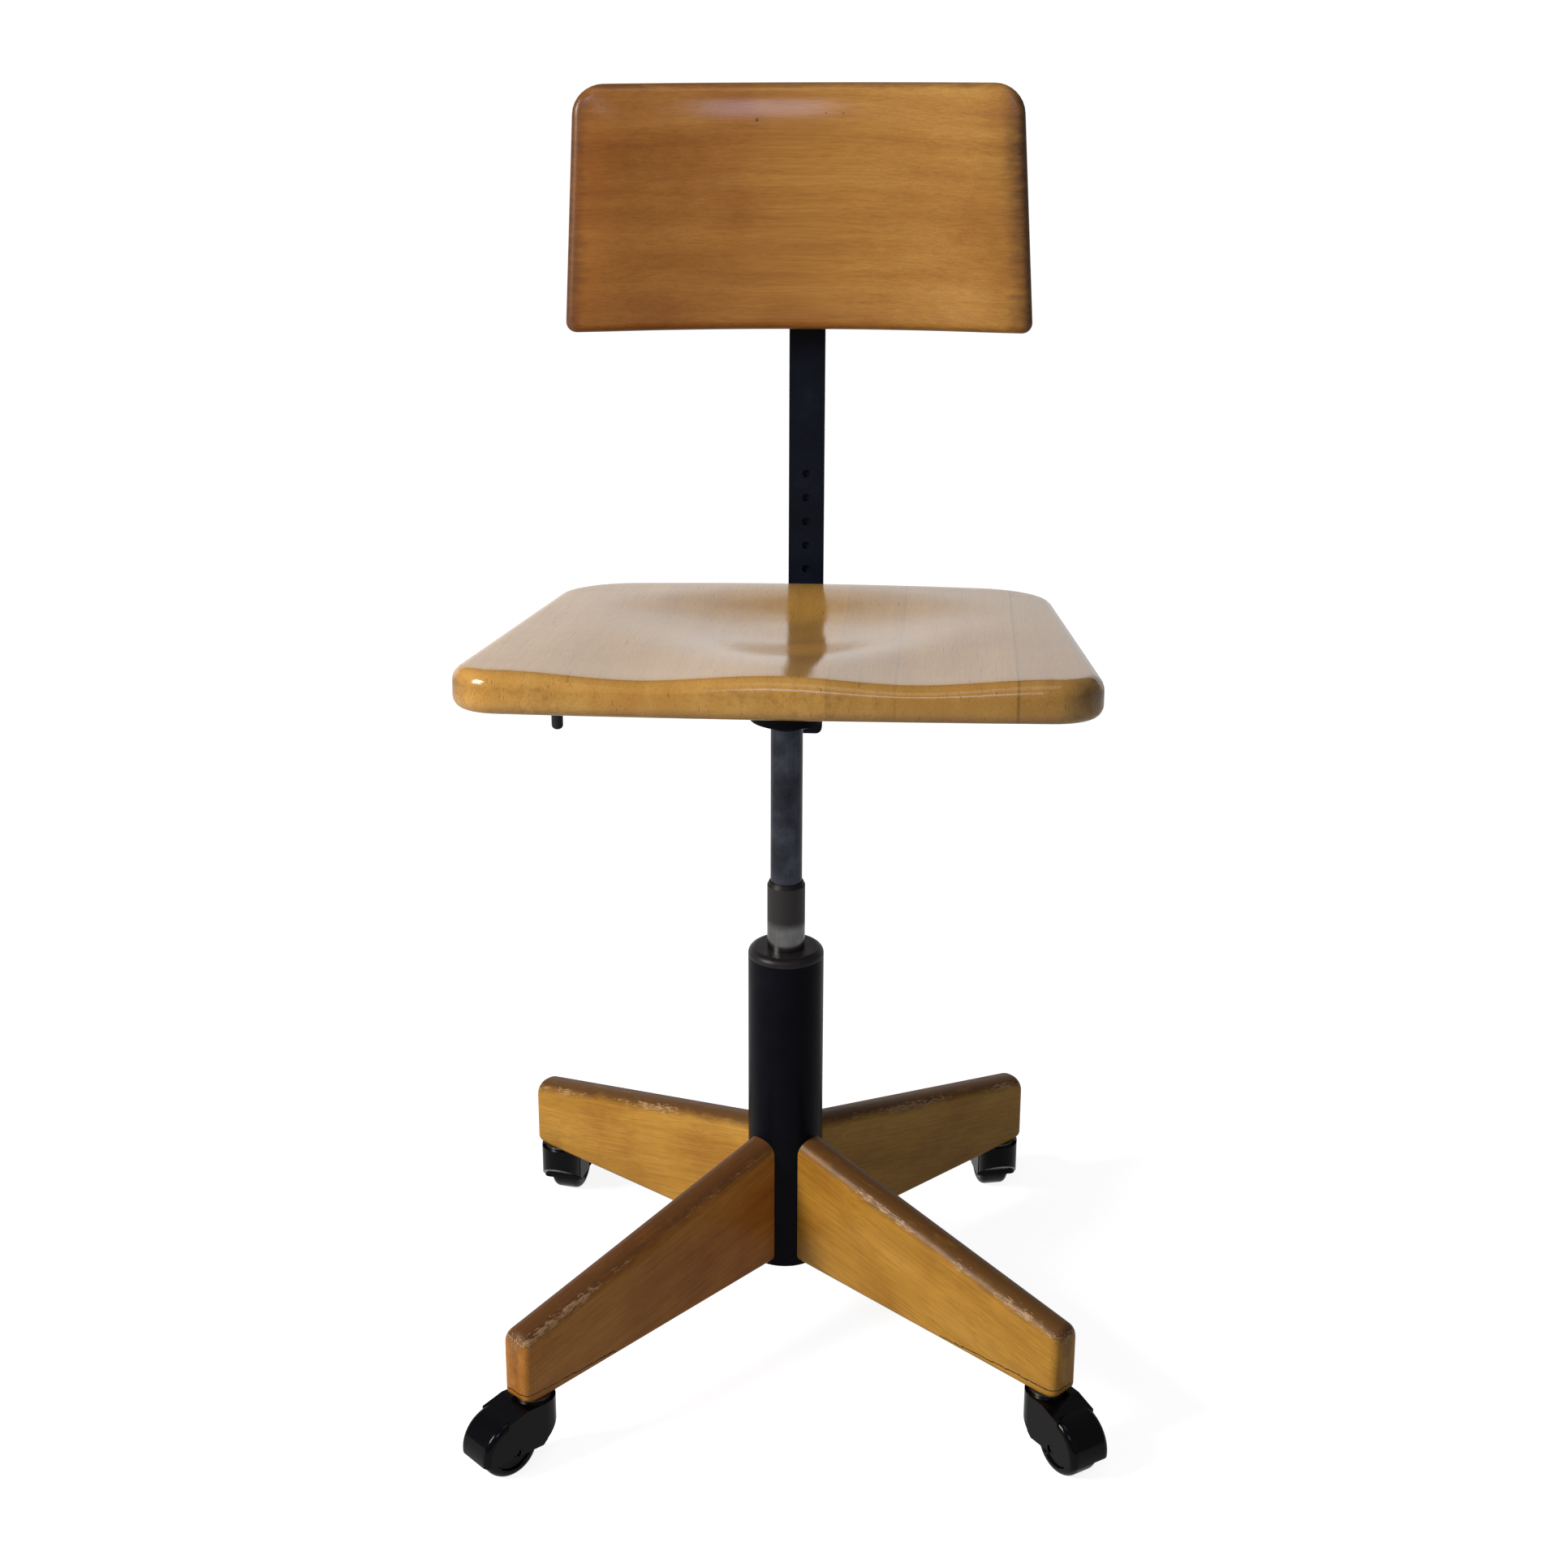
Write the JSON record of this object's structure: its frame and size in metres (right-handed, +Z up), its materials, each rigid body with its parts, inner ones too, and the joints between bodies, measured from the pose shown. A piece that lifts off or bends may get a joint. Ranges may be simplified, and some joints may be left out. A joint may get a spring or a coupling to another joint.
{
  "type": "swivel chair",
  "caption": "Height-adjustable swivel chair: saddle-shaped wooden seat, curved wooden backrest on a pierced upright bar, wooden cross base on hooded casters.",
  "frame": {"origin": "on the floor, at the middle of the bounding box's footprint; the column axis is at x -0.0112 m, y -0.0156 m", "axes": "+Z up, -Y the way the sitter faces, +X to the right for someone facing the chair's front"},
  "size_m": [0.4343, 0.4946, 0.8673],
  "materials": {
    "varnished_beech": "amber beech under a glossy clear varnish, edges worn darker",
    "black_enamel": "satin black enamel on steel",
    "black_plastic": "glossy black moulded plastic",
    "bush_plastic": "dark matt bearing plastic",
    "drawn_steel": "drawn steel tube, darkened by age",
    "zinc_steel": "plated steel"
  },
  "bodies": {
    "base": {"column_tube": "black_enamel", "column_cap": "black_plastic", "column_foot_plug": "black_plastic", "inner_guide_tube": "drawn_steel", "leg_rear_right": "varnished_beech", "leg_rear_left": "varnished_beech", "leg_front_left": "varnished_beech", "leg_front_right": "varnished_beech", "leg_bolts": "zinc_steel", "leg_inserts": "zinc_steel", "caster_sockets": "zinc_steel"},
    "lift": {"lift_tube": "drawn_steel", "lift_foot": "drawn_steel", "locking_balls": "zinc_steel", "thrust_washer": "zinc_steel", "post_bush_lower": "bush_plastic", "post_bush_upper": "bush_plastic"},
    "seat": {"seat_post": "drawn_steel", "seat_head": "black_enamel", "lever_pivot_pin": "zinc_steel", "lever_spring": "zinc_steel", "mounting_plate": "black_enamel", "seat_panel": "varnished_beech", "seat_screws": "zinc_steel", "backrest_arm": "black_enamel", "arm_bolts": "zinc_steel", "backrest_guide": "black_enamel", "lock_housing": "black_enamel", "lock_spring": "zinc_steel"},
    "height_lever": {"height_lever": "black_enamel", "lever_grip": "black_plastic"},
    "release_rod": {"release_rod": "drawn_steel"},
    "lock_pin": {"lock_pin": "zinc_steel", "lock_knob": "black_plastic"},
    "upright": {"upright_bar": "black_enamel", "bar_stop_pin": "zinc_steel"},
    "backrest": {"backrest_panel": "varnished_beech", "backrest_bracket": "black_enamel", "backrest_screws": "zinc_steel", "pivot_bolt": "zinc_steel", "pivot_cap_nut": "zinc_steel", "friction_washers": "black_plastic"},
    "caster_rear_right": {"caster_hood_rear_right": "black_plastic", "caster_stem_rear_right": "zinc_steel", "caster_axle_rear_right": "zinc_steel"},
    "caster_wheel_rear_right": {"caster_wheel_rear_right": "black_plastic"},
    "caster_rear_left": {"caster_hood_rear_left": "black_plastic", "caster_stem_rear_left": "zinc_steel", "caster_axle_rear_left": "zinc_steel"},
    "caster_wheel_rear_left": {"caster_wheel_rear_left": "black_plastic"},
    "caster_front_left": {"caster_hood_front_left": "black_plastic", "caster_stem_front_left": "zinc_steel", "caster_axle_front_left": "zinc_steel"},
    "caster_wheel_front_left": {"caster_wheel_front_left": "black_plastic"},
    "caster_front_right": {"caster_hood_front_right": "black_plastic", "caster_stem_front_right": "zinc_steel", "caster_axle_front_right": "zinc_steel"},
    "caster_wheel_front_right": {"caster_wheel_front_right": "black_plastic"}
  },
  "joints": [
    {"name": "seat_height", "type": "slide", "parent": "base", "child": "lift", "axis": [0, 0, 1], "range_m": [-0.04, 0.06]},
    {"name": "seat_swivel", "type": "hinge", "parent": "lift", "child": "seat", "pos_m": [-0.0112, -0.0156, 0.347], "axis": [0, 0, 1], "continuous": true},
    {"name": "lever_tilt", "type": "hinge", "parent": "seat", "child": "height_lever", "pos_m": [-0.0272, -0.0156, 0.4895], "axis": [0, 1, 0], "range_deg": [0, 6], "stiffness_Nm_per_rad": 2, "springref_deg": -6.88, "deforming": ["lever_spring"]},
    {"name": "release_slide", "type": "slide", "parent": "seat", "child": "release_rod", "axis": [0, 0, 1], "range_m": [-0.0022, 0]},
    {"name": "lock_pull", "type": "slide", "parent": "seat", "child": "lock_pin", "axis": [0, 1, 0], "range_m": [-0.0026, 0], "deforming": ["lock_spring"]},
    {"name": "backrest_height", "type": "slide", "parent": "seat", "child": "upright", "axis": [0, 0, 1], "range_m": [-0.1098, 0.0366]},
    {"name": "backrest_tilt", "type": "hinge", "parent": "upright", "child": "backrest", "pos_m": [-0.0112, 0.2064, 0.77854], "axis": [1, 0, 0], "range_deg": [-12, 10]},
    {"name": "caster_swivel_rear_right", "type": "hinge", "parent": "base", "child": "caster_rear_right", "pos_m": [0.14628, 0.17208, 0.0495], "axis": [0, 0, 1], "continuous": true},
    {"name": "wheel_spin_rear_right", "type": "hinge", "parent": "caster_rear_right", "child": "caster_wheel_rear_right", "pos_m": [0.14066, 0.19644, 0.021], "axis": [-0.9744, -0.225, 0], "continuous": true},
    {"name": "caster_swivel_rear_left", "type": "hinge", "parent": "base", "child": "caster_rear_left", "pos_m": [-0.19888, 0.14188, 0.0495], "axis": [0, 0, 1], "continuous": true},
    {"name": "wheel_spin_rear_left", "type": "hinge", "parent": "caster_rear_left", "child": "caster_wheel_rear_left", "pos_m": [-0.19454, 0.1665, 0.021], "axis": [-0.9848, 0.1736, 0], "continuous": true},
    {"name": "caster_swivel_front_left", "type": "hinge", "parent": "base", "child": "caster_front_left", "pos_m": [-0.16868, -0.20328, 0.0495], "axis": [0, 0, 1], "continuous": true},
    {"name": "wheel_spin_front_left", "type": "hinge", "parent": "caster_front_left", "child": "caster_wheel_front_left", "pos_m": [-0.18667, -0.22065, 0.021], "axis": [0.6947, -0.7193, 0], "continuous": true},
    {"name": "caster_swivel_front_right", "type": "hinge", "parent": "base", "child": "caster_front_right", "pos_m": [0.17648, -0.17308, 0.0495], "axis": [0, 0, 1], "continuous": true},
    {"name": "wheel_spin_front_right", "type": "hinge", "parent": "caster_front_right", "child": "caster_wheel_front_right", "pos_m": [0.19153, -0.19305, 0.021], "axis": [0.7986, 0.6018, 0], "continuous": true}
  ],
  "couplings": [
    {"joint": "release_slide", "follows": "lever_tilt", "m_per_rad": -0.02}
  ]
}
